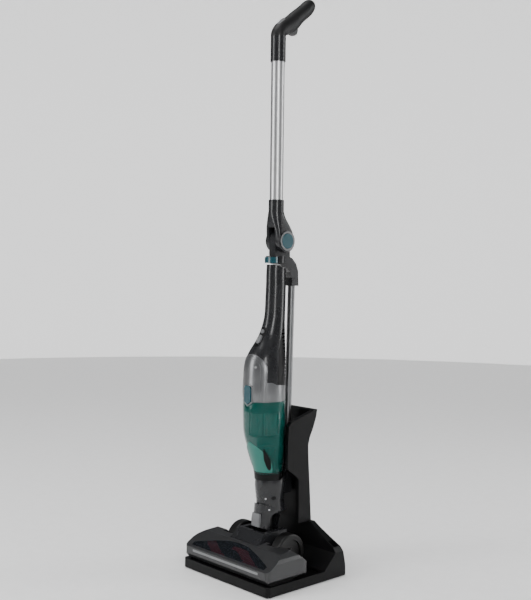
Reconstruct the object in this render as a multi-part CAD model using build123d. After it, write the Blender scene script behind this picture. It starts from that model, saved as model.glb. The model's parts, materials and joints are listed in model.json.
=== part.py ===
from build123d import *
import math
import os

# Cordless stick vacuum parked on its charging dock, in millimetres.
# +Z is up, the front faces -Y, and +X is on the right-hand side of someone who looks at the front.
# The shapes are drawn about the upper tube's axis (x = 0, y = 0) and save() shifts them by TUBE_Y,
# so that the origin lies on the floor under the middle of the whole object's footprint.

os.makedirs("parts", exist_ok=True)

TUBE_Y = 15.0

# Upper tube and handle
TUBE_R = 13.0
TUBE_WALL = 1.2
TUBE_BOTTOM = 704.0
TUBE_TOP = 1038.0
COLLAR_R = 14.8
COLLAR_BOTTOM = 997.0
COLLAR_TOP = 1046.0

# Folding joint
FOLD_Y = 12.0
FOLD_Z = 650.0
EAR_R = 22.0
EAR_OUT = 20.0
SLOT_HALF = 9.0
KNUCKLE_R = 21.5
KNUCKLE_HALF = 8.6
SLOT_TOP = 676.0
PIN_R = 4.0
FOLD_BUTTON_R = 15.0
RING_OUT_R = 18.8
FORK_TOP = 730.0
FORK_R = 15.0

# Main frame
YOKE_TOP = 620.5
YOKE_R = 20.0
BACK_TUBE_R = 7.0
BACK_TUBE_LOW = (35.5, 172.0)
BACK_TUBE_HIGH = (44.5, 576.0)
ARM_HALF = 10.0

# Hand vacuum: height, middle in y, half width in x, half depth in y
VAC_SECTIONS = [
    (620, 2, 17.2, 20.2),
    (560, 2, 18, 21),
    (505, 0, 18.5, 21.5),
    (488, -2.5, 19.5, 23.5),
    (471, -6, 22, 27),
    (446, -14, 28, 34),
    (430, -20.5, 33.5, 39.5),
    (414, -24, 37.3, 41.6),
    (390, -25.7, 39.5, 42.2),
    (360, -26.5, 40, 42.5),
    (325, -26.3, 40, 42.5),
    (289, -25.5, 39.5, 42),
    (266, -24, 37, 41),
    (246, -20, 35, 37),
    (224, -17, 32, 32.4),
    (209, -14.5, 29, 29.4),
    (197, -13.5, 27.4, 27.8),
    (184, -13, 26.6, 27),
    (170, -12.6, 26, 26.4),
]
VAC_WALL = 2.2
BODY_BOTTOM = 340.0
BEZEL_TOP = 431.0
BEZEL_HALF = 33.0
BIN_BOTTOM = 197.0
COLLAR_LOW = 184.0

# Neck and floor head
TILT_Y = -8.0
TILT_Z = 74.0
BARREL_R = 15.0
NECK_TOP = 121.0
HEAD_HALF = 121.0
ARM_IN = 28.6
ARM_OUT = 34.3
WHEEL_X = 63.5
WHEEL_W = 22.0
WHEEL_R = 36.5
WHEEL_Y = -20.0
WHEEL_Z = 52.5
BRUSH_Y = -86.0
BRUSH_Z = 37.0
BRUSH_HALF = 98.0
CORE_R = 13.0
TUFT_R = 20.4

# Dock
DOCK_HALF = 123.5
DOCK_FRONT = -125.5
DOCK_REAR = 86.0
DOCK_LOW = 2.0
CORNER_R = 8.0
TRAY_TOP = 20.0
TRAY_FLOOR = 15.5
SHOULDER_TOP = 96.0
COLUMN_TOP = 317.0
CHANNEL_HALF = 37.5
CHANNEL_BACK = 47.5


def save(name, shape):
    """Write one node, moved so that the origin is under the middle of the footprint."""
    moved = Pos(0, TUBE_Y, 0) * shape
    export_step(Compound(children=list(moved.solids()), label=name), f"parts/{name}.step")


def box(x0, x1, y0, y1, z0, z1):
    """Box between two corners."""
    middle = Pos((x0 + x1) / 2, (y0 + y1) / 2, (z0 + z1) / 2)
    return middle * Box(x1 - x0, y1 - y0, z1 - z0)


def rod_x(radius, x0, x1, y, z):
    """Round bar along X."""
    return Pos((x0 + x1) / 2, y, z) * Rot(0, 90, 0) * Cylinder(radius, x1 - x0)


def rod_z(radius, z0, z1, x=0.0, y=0.0):
    """Round bar along Z."""
    return Pos(x, y, (z0 + z1) / 2) * Cylinder(radius, z1 - z0)


def side_slab(points, x0, x1):
    """Solid whose side view is the closed outline of (y, z) points, between two x planes."""
    face = make_face(Polyline(*[(x0, y, z) for y, z in points], close=True))
    return extrude(face, amount=x1 - x0, dir=(1, 0, 0))


def front_slab(points, y0, y1):
    """Solid whose front view is the closed outline of (x, z) points, between two y planes."""
    face = make_face(Polyline(*[(x, y0, z) for x, z in points], close=True))
    return extrude(face, amount=y1 - y0, dir=(0, 1, 0))


def mirrored(points):
    """Outline points and their mirror images in x, in order round the outline."""
    return points + [(-x, z) for x, z in reversed(points) if x != 0]


def evened(sections, low, high, count):
    """Sections at evenly spaced heights, each taken between its two neighbours in the list."""
    rows = sorted(sections)
    result = []
    for index in range(count + 1):
        z = low + (high - low) * index / count
        above = next((row for row in rows if row[0] >= z), rows[-1])
        below = [row for row in rows if row[0] <= z][-1] if rows[0][0] <= z else rows[0]
        part = 0.0 if above[0] == below[0] else (z - below[0]) / (above[0] - below[0])
        middle = [b + (a - b) * part for a, b in zip(above[1:], below[1:])]
        result.append((z, *middle))
    return result


def oval_loft(sections, inset=0.0):
    """Loft through level ellipses given as height, y middle, half width, half depth."""
    ovals = [Pos(0, y, z) * Ellipse(a - inset, b - inset) for z, y, a, b in sorted(sections)]
    return loft(ovals)


def rounded_plate(x_half, y0, y1, z0, z1, radius):
    """Level plate with rounded corners."""
    outline = Pos(0, (y0 + y1) / 2, z0) * RectangleRounded(2 * x_half, y1 - y0, radius)
    return extrude(outline, amount=z1 - z0)


# ---------------------------------------------------------------- dock

# Side view of the tray: flat front, a ramp behind the floor head, shoulder, sloping back.
tray_side = side_slab(
    [(DOCK_FRONT, DOCK_LOW), (DOCK_FRONT, TRAY_TOP), (22, TRAY_TOP), (52, 50), (55, 100),
     (66, 100), (69, 80), (74, 50), (DOCK_REAR, DOCK_LOW)],
    -DOCK_HALF, DOCK_HALF,
)
# Front view: low side walls, shoulders that sweep up to the column.
shoulder = [(DOCK_HALF, DOCK_LOW), (DOCK_HALF, 50), (117, 59), (101, 67), (85, 76), (67, 86),
            (52, SHOULDER_TOP)]
tray_front = front_slab(mirrored(shoulder), DOCK_FRONT, DOCK_REAR)
footprint = rounded_plate(DOCK_HALF, DOCK_FRONT, DOCK_REAR, DOCK_LOW, SHOULDER_TOP, CORNER_R)
tray_outer = tray_side & tray_front & footprint
head_recess = rounded_plate(117, DOCK_FRONT + 5, 22, TRAY_FLOOR, TRAY_TOP + 20, 16)
tray_hollow = rounded_plate(DOCK_HALF - 4, DOCK_FRONT + 4, DOCK_REAR - 6, DOCK_LOW - 1, 12, 16)
column_foot = box(-CHANNEL_HALF, CHANNEL_HALF, 0, CHANNEL_BACK, 58, SHOULDER_TOP + 1)
ramp_gap = side_slab([(10, 22), (CHANNEL_BACK, 58), (CHANNEL_BACK, 80), (10, 80)],
                     -CHANNEL_HALF, CHANNEL_HALF)

HOLE_X = 107.0
HOLE_Y = 62.0
HOLE_HALF_X = 8.0
HOLE_HALF_Y = 6.0
HOLE_FLOOR = 24.0
tool_holes = [box(s * HOLE_X - HOLE_HALF_X, s * HOLE_X + HOLE_HALF_X, HOLE_Y - HOLE_HALF_Y,
                  HOLE_Y + HOLE_HALF_Y, HOLE_FLOOR, 90) for s in (-1, 1)]

SCREW_R = 1.6
SCREW_HEAD_R = 3.4
DOCK_SCREW_SPOTS = [(x, y) for x in (-88, 88) for y in (-88, 40)]
boss_set = [rod_z(5, 5, 14, x, y) for x, y in DOCK_SCREW_SPOTS]
boss_holes = [rod_z(SCREW_R + 0.02, 4, 13.2, x, y) for x, y in DOCK_SCREW_SPOTS]

SOCKET_Z = 30.0
SOCKET_R = 6.0
socket_hole = Pos(0, DOCK_REAR - 14, SOCKET_Z) * Rot(90, 0, 0) * Cylinder(SOCKET_R + 0.05, 40)

dock_tray = tray_outer - head_recess - tray_hollow - column_foot - ramp_gap
for hole in tool_holes:
    dock_tray -= hole
for boss in boss_set:
    dock_tray += boss
for hole in boss_holes:
    dock_tray -= hole
dock_tray -= socket_hole
save("dock_tray", dock_tray)


def column_section(z, half, rear):
    """Outline of the column at one height, before the channel is cut from its front."""
    front = -30.0
    return Pos(0, (front + rear) / 2, z) * RectangleRounded(2 * half, rear - front, 5)


column_outer = loft([
    column_section(SHOULDER_TOP, 45.5, 66),
    column_section(160, 45, 62),
    column_section(219, 45, 57.5),
    column_section(247, 45, 56),
    column_section(262, 45.5, 59.5),
    column_section(282, 46.5, 68),
    column_section(302, 47.5, 74.5),
    column_section(COLUMN_TOP, 48, 77),
], ruled=True)
channel_cut = box(-CHANNEL_HALF, CHANNEL_HALF, -60, CHANNEL_BACK, SHOULDER_TOP - 1, COLUMN_TOP + 1)
# Side view of the cheeks: shallow below, wings that reach forward above, top sloping to the front.
cheek_side = side_slab(
    [(28, SHOULDER_TOP), (28, 183), (20, 190), (-3, 207), (-3, 290), (4, 298), (62, 315),
     (66, COLUMN_TOP), (90, COLUMN_TOP), (90, SHOULDER_TOP)],
    -60, 60,
)
dock_column = (column_outer & cheek_side) - channel_cut
back_scoop = side_slab([(CHANNEL_BACK, 262), (CHANNEL_BACK, 330), (66, 330), (62, 300)],
                       -CHANNEL_HALF, CHANNEL_HALF)
dock_column -= back_scoop
CONTACT_Z = 228.0
contact_pocket = box(-14, 14, CHANNEL_BACK - 2, CHANNEL_BACK + 4, CONTACT_Z - 9, CONTACT_Z + 9)
dock_column -= contact_pocket
save("dock_column", dock_column)

contact_block = box(-14, 14, CHANNEL_BACK - 0.5, CHANNEL_BACK + 4, CONTACT_Z - 9, CONTACT_Z + 9)
PIN_SPOTS = (-7, 7)
CONTACT_R = 2.0
contact_pins = []
for x in PIN_SPOTS:
    pin = Pos(x, CHANNEL_BACK + 0.8, CONTACT_Z) * Rot(90, 0, 0) * Cylinder(CONTACT_R, 4)
    contact_block -= pin
    contact_pins.append(pin)
save("contact_block", contact_block)
save("charging_contacts", Compound(children=contact_pins))

bottom_plate = rounded_plate(DOCK_HALF - 4.3, DOCK_FRONT + 4.3, DOCK_REAR - 6.3, DOCK_LOW + 0.5, 5, 16)
for x, y in DOCK_SCREW_SPOTS:
    bottom_plate -= rod_z(SCREW_R + 0.3, 0, 6, x, y)
    bottom_plate -= rod_z(SCREW_HEAD_R + 0.3, 0, 3.8, x, y)
save("dock_bottom_plate", bottom_plate)

FOOT_SPOTS = [(x, y) for x in (-106, 106) for y in (-104, 66)]
save("dock_feet", Compound(children=[rod_z(9, 0, DOCK_LOW + 0.5, x, y) for x, y in FOOT_SPOTS]))


def screw(x, y, z_head, length):
    """Round-headed screw pointing up, its head's underside at z_head."""
    body = rod_z(SCREW_HEAD_R, z_head, z_head + 1.2, x, y)
    body += rod_z(SCREW_R, z_head + 1.2, z_head + length, x, y)
    body -= box(x - 2.4, x + 2.4, y - 0.4, y + 0.4, z_head - 1, z_head + 0.7)
    body -= box(x - 0.4, x + 0.4, y - 2.4, y + 2.4, z_head - 1, z_head + 0.7)
    return body


save("dock_screws", Compound(children=[screw(x, y, 2.6, 9.5) for x, y in DOCK_SCREW_SPOTS]))

socket_shell = Pos(0, DOCK_REAR - 14, SOCKET_Z) * Rot(90, 0, 0) * Cylinder(SOCKET_R, 22)
socket_bore = Pos(0, DOCK_REAR - 7, SOCKET_Z) * Rot(90, 0, 0) * Cylinder(2.8, 14)
socket_core = Pos(0, DOCK_REAR - 9, SOCKET_Z) * Rot(90, 0, 0) * Cylinder(1.0, 11)
rear_slope = side_slab([(58, -10), (58, 66), (69.6, 66), (73.6, 50), (85.6, 2), (88, -10)], -20, 20)
charger_socket = ((socket_shell - socket_bore) + socket_core) & rear_slope
save("charger_socket", charger_socket)

# ---------------------------------------------------------------- floor head

# Outer side view of the floor head, front at the left.
HEAD_SIDE = [(-124, 31), (-125, 46), (-118, 49), (-96, 62), (-80, 69.5), (-52, 72.5), (-21, 48),
             (-21, 28), (-50, 23), (-55, 17), (-102, 17), (-117, 22)]
head_block = side_slab(HEAD_SIDE, -HEAD_HALF, HEAD_HALF)
head_plan = rounded_plate(HEAD_HALF, -125.5, 40, 10, 80, 11) & rounded_plate(
    HEAD_HALF, -180, -10, 10, 80, 22)
head_ends = front_slab(mirrored([(113, 10), (113, 20), (HEAD_HALF, 29), (HEAD_HALF, 58), (117, 64),
                                 (106, 72), (100, 80)]), -140, 0)
head_envelope = head_block & head_plan & head_ends
SPLIT_Z = 32.0
HEAD_WALL = 2.4
head_inside = side_slab(
    [(-121, 33), (-121.5, 44), (-117, 46), (-95, 59), (-79, 66.5), (-53, 69.5), (-24, 46),
     (-24, 30), (-49, 26), (-53, 20), (-101, 20), (-115, 25)],
    -HEAD_HALF + HEAD_WALL, HEAD_HALF - HEAD_WALL,
) & rounded_plate(HEAD_HALF - HEAD_WALL, -123, 38, 10, 80, 9) & rounded_plate(
    HEAD_HALF - HEAD_WALL, -180, -12, 10, 80, 20)
head_inside = head_inside & front_slab(
    mirrored([(110, 10), (110, 21), (118.4, 30), (118.4, 57), (114.5, 61.5), (104, 69), (98, 77)]), -140, 0)
head_shell = head_envelope - head_inside

wheel_wells = [box(s * WHEEL_X - 14, s * WHEEL_X + 14, -61, 5, 10, 100) for s in (-1, 1)]
well_walls = [box(s * WHEEL_X - 16, s * WHEEL_X + 16, -63, -23, 18, 60) for s in (-1, 1)]
brush_mouth = box(-BRUSH_HALF - 3, BRUSH_HALF + 3, -108, -66, 10, SPLIT_Z)
window_cut = front_slab(
    mirrored([(0, 46), (104, 46), (106, 52.5), (96, 55), (60, 62), (28, 66.5), (0, 67.5)]),
    -124, -60,
)
window_zone = side_slab([(-119, 44), (-119, 70), (-76, 72), (-76, 63), (-99, 50)], -108, 108)
window_cut = window_cut & window_zone
bar_cut = box(-95, 95, -127, -122.5, 36, 44)
hood_cut = front_slab(mirrored([(0, 40), (27, 40), (42, 66), (27, 100), (0, 100)]), -76, -10)

head_cover = head_shell & box(-130, 130, -130, 20, SPLIT_Z, 100)
head_base = head_shell & box(-130, 130, -130, 20, 10, SPLIT_Z)
for wall in well_walls:
    head_base += wall & head_inside & box(-130, 130, -130, 20, 10, SPLIT_Z)
head_base -= brush_mouth
neck_gap = box(-ARM_IN, ARM_IN, -34, 20, 10, 100)
for well in wheel_wells:
    head_cover -= well
    head_base -= well
head_cover = head_cover - window_cut - bar_cut - hood_cut - neck_gap
head_base = head_base - neck_gap

# Two arms carry the tilt barrel between the wheels.
AXLE_R = 3.0
TRUNNION_R = 6.0
for s in (-1, 1):
    arm = side_slab([(-40, 20), (-40, 60), (-24, 82), (0, 83), (6, 74), (0, 24)],
                    min(s * ARM_IN, s * ARM_OUT), max(s * ARM_IN, s * ARM_OUT))
    head_base += arm
    head_base -= rod_x(AXLE_R + 0.02, s * 38 - 16, s * 38 + 16, WHEEL_Y, WHEEL_Z)
    head_base -= rod_x(TRUNNION_R + 0.05, s * 32 - 8, s * 32 + 8, TILT_Y, TILT_Z)
head_cover -= head_base
save("head_cover", head_cover)
save("head_base", head_base)

window_outer = side_slab(
    [(-118.6, 48.6), (-96, 62), (-80, 69.5), (-76, 69.9), (-76, 67.9), (-79, 67.4), (-95, 60),
     (-117.6, 46.8)], -108, 108)
head_window = window_outer & window_cut
save("head_window", head_window)

save("light_bar", box(-94.8, 94.8, -124.6, -121.8, 36.2, 43.8) & (head_block - head_inside) & bar_cut)
save("light_board", box(-92, 92, -121.2, -119.8, 36.5, 43.5) & head_inside)

# Hood over the neck: a low truncated pyramid, open behind for the neck to lie back.
hood_low = Pos(0, -36, 66) * Rectangle(84, 80)
hood_high = Pos(0, -26, 88) * Rectangle(74, 60)
hood_outer = loft([hood_low, hood_high])
hood_inner = loft([Pos(0, -31, 63) * Rectangle(79, 85), Pos(0, -21, 85.6) * Rectangle(69.6, 65.4)])
neck_slot = box(-27.5, 27.5, -49, 20, 60, 100)
head_hood = (hood_outer - hood_inner - neck_slot) & box(-60, 60, -80, 4, 60, 100)
head_hood -= head_cover
head_hood -= head_base
for well in wheel_wells:
    head_hood -= well
save("head_hood", head_hood)

# Brush roll: core with end journals, and two spiral rows of bristle tufts.
brush_core = rod_x(CORE_R, -BRUSH_HALF + 8, BRUSH_HALF - 8, BRUSH_Y, BRUSH_Z)
brush_core += rod_x(4, -BRUSH_HALF, BRUSH_HALF, BRUSH_Y, BRUSH_Z)
save("brush_core", brush_core)
tufts = []
TUFT_COUNT = 22
for start in (0, 180):
    for index in range(TUFT_COUNT):
        x = -84 + 168 * index / (TUFT_COUNT - 1)
        angle = start + 1.5 * 360 * index / (TUFT_COUNT - 1)
        tuft = Pos(x, BRUSH_Y, BRUSH_Z) * Rot(angle, 0, 0) * Pos(0, 0, (CORE_R + TUFT_R) / 2)
        tufts.append(tuft * Cylinder(3.0, TUFT_R - CORE_R - 0.2))
save("brush_bristles", Compound(children=tufts))

bearings = []
for s in (-1, 1):
    block = box(min(s * 90.6, s * 97), max(s * 90.6, s * 97), BRUSH_Y - 9, BRUSH_Y + 9, 26, 52)
    bearings.append(block - rod_x(4.05, -110, 110, BRUSH_Y, BRUSH_Z))
save("brush_bearings", Compound(children=bearings))

MOTOR_Y = -48.0
MOTOR_Z = 46.0
MOTOR_PULLEY_R = 6.0
BRUSH_PULLEY_R = 12.0
PULLEY_X = 100.0
BELT_HALF = 3.0
brush_motor = rod_x(12, 82, 95, MOTOR_Y, MOTOR_Z) - rod_x(1.6, 60, 110, MOTOR_Y, MOTOR_Z)
save("brush_motor", brush_motor)
motor_pulley = rod_x(MOTOR_PULLEY_R, PULLEY_X - 4, PULLEY_X + 4, MOTOR_Y, MOTOR_Z)
motor_pulley += rod_x(1.55, 84, PULLEY_X, MOTOR_Y, MOTOR_Z)
save("motor_pulley", motor_pulley)
brush_pulley = rod_x(BRUSH_PULLEY_R, PULLEY_X - 2.6, PULLEY_X + 4, BRUSH_Y, BRUSH_Z)
brush_pulley -= rod_x(4, 80, BRUSH_HALF, BRUSH_Y, BRUSH_Z)
save("brush_pulley", brush_pulley)


def belt_loop(grow):
    """Flat solid between the belt's two runs, round both pulleys."""
    length = math.dist((BRUSH_Y, BRUSH_Z), (MOTOR_Y, MOTOR_Z))
    lean = math.degrees(math.atan2(MOTOR_Z - BRUSH_Z, MOTOR_Y - BRUSH_Y))
    r1 = BRUSH_PULLEY_R + grow
    r2 = MOTOR_PULLEY_R + grow
    side = math.acos((r1 - r2) / length)
    points = []
    for radius, middle in ((r1, 0.0), (r2, length)):
        points.append((middle + radius * math.cos(side), radius * math.sin(side)))
    outline = [points[0], points[1], (points[1][0], -points[1][1]), (points[0][0], -points[0][1])]
    slope = math.radians(lean)
    turned_points = []
    for along, across in outline:
        y = BRUSH_Y + along * math.cos(slope) - across * math.sin(slope)
        z = BRUSH_Z + along * math.sin(slope) + across * math.cos(slope)
        turned_points.append((y, z))
    x0 = PULLEY_X - BELT_HALF + 1
    x1 = PULLEY_X + BELT_HALF
    shape = side_slab(turned_points, x0, x1)
    shape += rod_x(r1, x0, x1, BRUSH_Y, BRUSH_Z)
    shape += rod_x(r2, x0, x1, MOTOR_Y, MOTOR_Z)
    return shape


save("drive_belt", belt_loop(1.4) - belt_loop(0.1))

# Rear wheels on stub axles outboard of the arms.
axles = []
for s, side in ((-1, "left"), (1, "right")):
    middle = s * WHEEL_X
    wheel = rod_x(WHEEL_R, middle - WHEEL_W / 2, middle + WHEEL_W / 2, WHEEL_Y, WHEEL_Z)
    wheel = fillet(wheel.edges().filter_by(GeomType.CIRCLE), 3.5)
    dish_x = middle + s * WHEEL_W / 2
    wheel -= rod_x(26, dish_x - 4, dish_x + 4, WHEEL_Y, WHEEL_Z)
    wheel += rod_x(9, dish_x - 5, dish_x + 5, WHEEL_Y, WHEEL_Z) & rod_x(
        9, dish_x - s * 2.5 - 2.5, dish_x - s * 2.5 + 2.5, WHEEL_Y, WHEEL_Z)
    wheel -= rod_x(AXLE_R + 0.05, middle - 20, middle + 20, WHEEL_Y, WHEEL_Z)
    save(f"wheel_{side}", wheel)
    inner = s * 29
    outer = s * 73
    axles.append(rod_x(AXLE_R, min(inner, outer), max(inner, outer), WHEEL_Y, WHEEL_Z))
save("wheel_axles", Compound(children=axles))

# Suction duct from the brush chamber to the neck barrel.
duct_outer = side_slab([(-62, 34), (-62, 58), (-42, 76), (-26, 79), (-26, 62), (-42, 50)], -22, 22)
duct_inner = side_slab([(-64, 37), (-64, 53), (-42, 73), (-24, 76), (-24, 65), (-42, 54)], -19, 19)
save("suction_duct", duct_outer - duct_inner)

# ---------------------------------------------------------------- neck

NECK_HALF = 24.0
SOCKET_SECTIONS = [
    (NECK_TOP, -4, 25, 31),
    (134, -6, 24.5, 30),
    (150, -7, 25.5, 30),
    (160, -7, 27, 31.3),
    (184, -6, 27.3, 32.3),
    (206, -4, 28, 33),
]
neck_block = side_slab(
    [(-36, 90), (-50, 93), (-50, 137), (-38, 137), (-26, 133), (-14, 126), (-4, NECK_TOP),
     (16, NECK_TOP), (9, 108), (8, 90), (2, 78), (-20, 78)],
    -30, 30)
neck_plan = oval_loft([(76, -17, NECK_HALF, 27), (105, -16.5, 24.6, 27), (121, -13, 25.6, 28.5),
                       (140, -11, 25.4, 29.2)])
neck_block = (neck_block & neck_plan) - oval_loft(SOCKET_SECTIONS)
barrel = rod_x(BARREL_R, -NECK_HALF, NECK_HALF, TILT_Y, TILT_Z)
neck_yoke = neck_block + barrel
hose_way = rod_z(13.2, 60, 160, 0, -13)
barrel_mouth = side_slab([(-40, 64), (-40, 80), (-10, 86), (-8, 64)], -19, 19) & rod_x(
    BARREL_R + 4, -19, 19, TILT_Y, TILT_Z)
side_arch = box(-30, 30, -27, 0, 86, 108) + rod_x(13.5, -30, 30, -13.5, 106)
neck_yoke = neck_yoke - hose_way - barrel_mouth - side_arch
pedal_pocket = box(-11, 11, -50, -36.5, 90, 119.6)
neck_yoke -= pedal_pocket
for s in (-1, 1):
    neck_yoke -= rod_x(TRUNNION_R, s * 21 - 4, s * 21 + 4, TILT_Y, TILT_Z)
save("neck_yoke", neck_yoke)
trunnions = [rod_x(TRUNNION_R, min(s * 17, s * 34), max(s * 17, s * 34), TILT_Y, TILT_Z) for s in (-1, 1)]
save("pivot_pins", Compound(children=trunnions))

HOSE_R = 11.6
HOSE_LOW = 68.0
HOSE_HIGH = 134.0
hose = rod_z(HOSE_R - 1.4, HOSE_LOW, HOSE_HIGH, 0, -13)
RIB_PITCH = 4.0
rib_z = HOSE_LOW + RIB_PITCH / 2
while rib_z < HOSE_HIGH:
    hose += rod_z(HOSE_R, rib_z - 0.9, rib_z + 0.9, 0, -13)
    rib_z += RIB_PITCH
hose -= rod_z(HOSE_R - 2.6, HOSE_LOW - 1, HOSE_HIGH + 1, 0, -13)
save("neck_hose", hose)

pedal = side_slab([(-46, 93), (-46.5, 108), (-44, 119), (-40, 119), (-40, 93)], -10.4, 10.4)
save("release_pedal", fillet(pedal.edges().filter_by(Axis.X), 1.2))

# ---------------------------------------------------------------- main frame

socket_outer = oval_loft(SOCKET_SECTIONS)
rim_cut = side_slab([(-60, 183.6), (-6, 183.6), (8, 191), (16, 204), (16, 230), (-60, 230)], -60, 60)
spine = side_slab([(17.8, 150), (17.8, 262), (20, 264), (44, 264), (46, 262), (46, 170), (40, 150)], -10, 10)
spine = fillet(spine.edges().filter_by(Axis.Z), 4)
frame_socket = (socket_outer - rim_cut) + spine
vac_rest = oval_loft([(183.6, -12.6, 28.6, 29), (212, -14.3, 32.2, 33)])
frame_socket -= vac_rest
frame_socket -= box(-18, 18, -29, 2, 168, 190)
frame_socket -= rod_z(12.5, NECK_TOP - 1, 170, 0, -13)


def back_tube(radius, low, high):
    """Leaning round bar between two (y, z) points."""
    dy = high[0] - low[0]
    dz = high[1] - low[1]
    lean = math.degrees(math.atan2(-dy, dz))
    middle = Pos(0, (low[0] + high[0]) / 2, (low[1] + high[1]) / 2)
    return middle * Rot(lean, 0, 0) * Cylinder(radius, math.hypot(dy, dz))


frame_socket -= back_tube(BACK_TUBE_R + 0.03, BACK_TUBE_LOW, BACK_TUBE_HIGH)
save("frame_socket", frame_socket)
save("rear_tube", back_tube(BACK_TUBE_R, BACK_TUBE_LOW, BACK_TUBE_HIGH)
     - back_tube(BACK_TUBE_R - 1.2, BACK_TUBE_LOW, BACK_TUBE_HIGH))

# Yoke: knuckle, stem, cap with the release button, and the arm that takes the back tube.
knuckle = rod_x(KNUCKLE_R, -KNUCKLE_HALF, KNUCKLE_HALF, FOLD_Y, FOLD_Z)
stem = box(-KNUCKLE_HALF, KNUCKLE_HALF, -9.5, 31, YOKE_TOP - 4, FOLD_Z)
arm = side_slab(
    [(-6, YOKE_TOP), (26, YOKE_TOP), (36, 616), (46, 606), (52, 592), (53.5, 562), (35.5, 562),
     (35, 578), (30, 589), (20, 597.5), (8, 602.5), (-6, 606)],
    -ARM_HALF - 1, ARM_HALF + 1)
cap = rod_z(YOKE_R - 0.6, 607, YOKE_TOP) & side_slab(
    [(-30, 609.5), (-30, YOKE_TOP), (30, YOKE_TOP), (30, 596)], -30, 30)
upper_yoke = arm + cap + stem + knuckle
button_room = rod_z(YOKE_R + 3, 606, 618.6) - rod_z(13.2, 605, 619)
button_room = button_room & side_slab([(-40, 600), (-40, 620), (-8, 620), (-8, 600)], -40, 40)
upper_yoke -= button_room
upper_yoke -= rod_x(PIN_R + 0.05, -20, 20, FOLD_Y, FOLD_Z)
upper_yoke -= back_tube(BACK_TUBE_R + 0.03, BACK_TUBE_LOW, BACK_TUBE_HIGH)
save("upper_yoke", upper_yoke)

yoke_button = rod_z(YOKE_R + 1.2, 606.8, 618.2) - rod_z(16.5, 605, 620)
yoke_button = yoke_button & side_slab([(-40, 600), (-40, 622), (-11, 622), (-11, 600)], -40, 40)
save("yoke_button", yoke_button)

# ---------------------------------------------------------------- folding joint

FORK_SECTIONS = [
    (FOLD_Z, FOLD_Y, 20, 21.9, 7),
    (664, 10.5, 20, 21.6, 8),
    (678, 6.5, 19, 19.6, 10),
    (692, 2.2, 17, 17.2, 13),
    (706, 0, 15.4, 15.4, 15),
]
flare = loft([Pos(0, y, z) * RectangleRounded(2 * a, 2 * b, r) for z, y, a, b, r in FORK_SECTIONS])
ears = fillet(rod_x(EAR_R, -EAR_OUT, EAR_OUT, FOLD_Y, FOLD_Z).edges().filter_by(GeomType.CIRCLE), 2.4)
fork_solid = flare + ears + rod_z(FORK_R, 704, FORK_TOP)
slot_front = box(-SLOT_HALF, SLOT_HALF, -40, FOLD_Y, 600, SLOT_TOP)
slot_round = rod_x(EAR_R + 0.4, -SLOT_HALF, SLOT_HALF, FOLD_Y, FOLD_Z)
slot_low = box(-SLOT_HALF, SLOT_HALF, -40, 60, 600, FOLD_Z)
fold_fork = fork_solid - slot_front - slot_round - slot_low
fold_fork -= rod_z(TUBE_R + 0.03, TUBE_BOTTOM, FORK_TOP + 1)
fold_fork -= rod_x(PIN_R + 0.02, -14, 14, FOLD_Y, FOLD_Z)
for s in (-1, 1):
    inner = s * 14
    outer = s * 24
    fold_fork -= rod_x(FOLD_BUTTON_R + 0.25, min(inner, outer), max(inner, outer), FOLD_Y, FOLD_Z)
    fold_fork -= rod_x(RING_OUT_R + 0.02, min(s * 18.5, outer), max(s * 18.5, outer), FOLD_Y, FOLD_Z)
save("fold_fork", fold_fork)
save("fold_pin", rod_x(PIN_R, -13.8, 13.8, FOLD_Y, FOLD_Z))

rings = []
for s, side in ((-1, "left"), (1, "right")):
    ring = rod_x(RING_OUT_R, min(s * 18.5, s * 21.6), max(s * 18.5, s * 21.6), FOLD_Y, FOLD_Z)
    rings.append(ring - rod_x(FOLD_BUTTON_R + 0.3, -30, 30, FOLD_Y, FOLD_Z))
    button = rod_x(FOLD_BUTTON_R, min(s * 17.4, s * 22.4), max(s * 17.4, s * 22.4), FOLD_Y, FOLD_Z)
    rim = button.edges().filter_by(GeomType.CIRCLE).sort_by(Axis.X)
    button = fillet(rim[-1] if s > 0 else rim[0], 1.2)
    save(f"fold_button_{side}", button)
save("fold_rings", Compound(children=rings))

# ---------------------------------------------------------------- upper tube and handle

save("upper_tube", rod_z(TUBE_R, TUBE_BOTTOM + 0.5, TUBE_TOP)
     - rod_z(TUBE_R - TUBE_WALL, TUBE_BOTTOM - 1, TUBE_TOP + 1))

handle_collar = rod_z(COLLAR_R, COLLAR_BOTTOM, COLLAR_TOP)
handle_collar -= rod_z(TUBE_R + 0.03, COLLAR_BOTTOM - 1, TUBE_TOP)
handle_collar -= rod_z(TUBE_R - 3, TUBE_TOP - 1, COLLAR_TOP + 1)
save("handle_collar", handle_collar)

# Grip sections: y, z, lean back from upright in degrees, half width, half depth
GRIP_SECTIONS = [
    (0, COLLAR_TOP, 0, COLLAR_R, COLLAR_R - 0.1),
    (2.5, 1055, 18, 14.9, 15),
    (12, 1063.3, 41, 15.3, 16),
    (26.5, 1071.2, 50, 15.4, 17.2),
    (45.2, 1087, 52, 15, 16),
    (62, 1101, 52, 14.8, 14.6),
    (74.5, 1111, 54, 14.6, 14.8),
    (84, 1119.5, 58, 13.4, 13.2),
    (90.5, 1123.5, 62, 9.5, 9),
]
grip_faces = [Pos(0, y, z) * Rot(-lean, 0, 0) * Ellipse(a, b) for y, z, lean, a, b in GRIP_SECTIONS]
grip_solid = loft(grip_faces)
grip_room = loft([Pos(0, y, z) * Rot(-lean, 0, 0) * Ellipse(a - 2.6, b - 2.6)
                  for y, z, lean, a, b in GRIP_SECTIONS[2:7]])
POWER_Y = 6.0
POWER_Z = 1074.5
POWER_LEAN = 47.0
power_pad = extrude(SlotOverall(25, 13), amount=4.4)
power_place = Pos(0, POWER_Y, POWER_Z) * Rot(POWER_LEAN, 0, 0) * Rot(0, 0, 90) * Pos(0, 0, -3.2)
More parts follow.
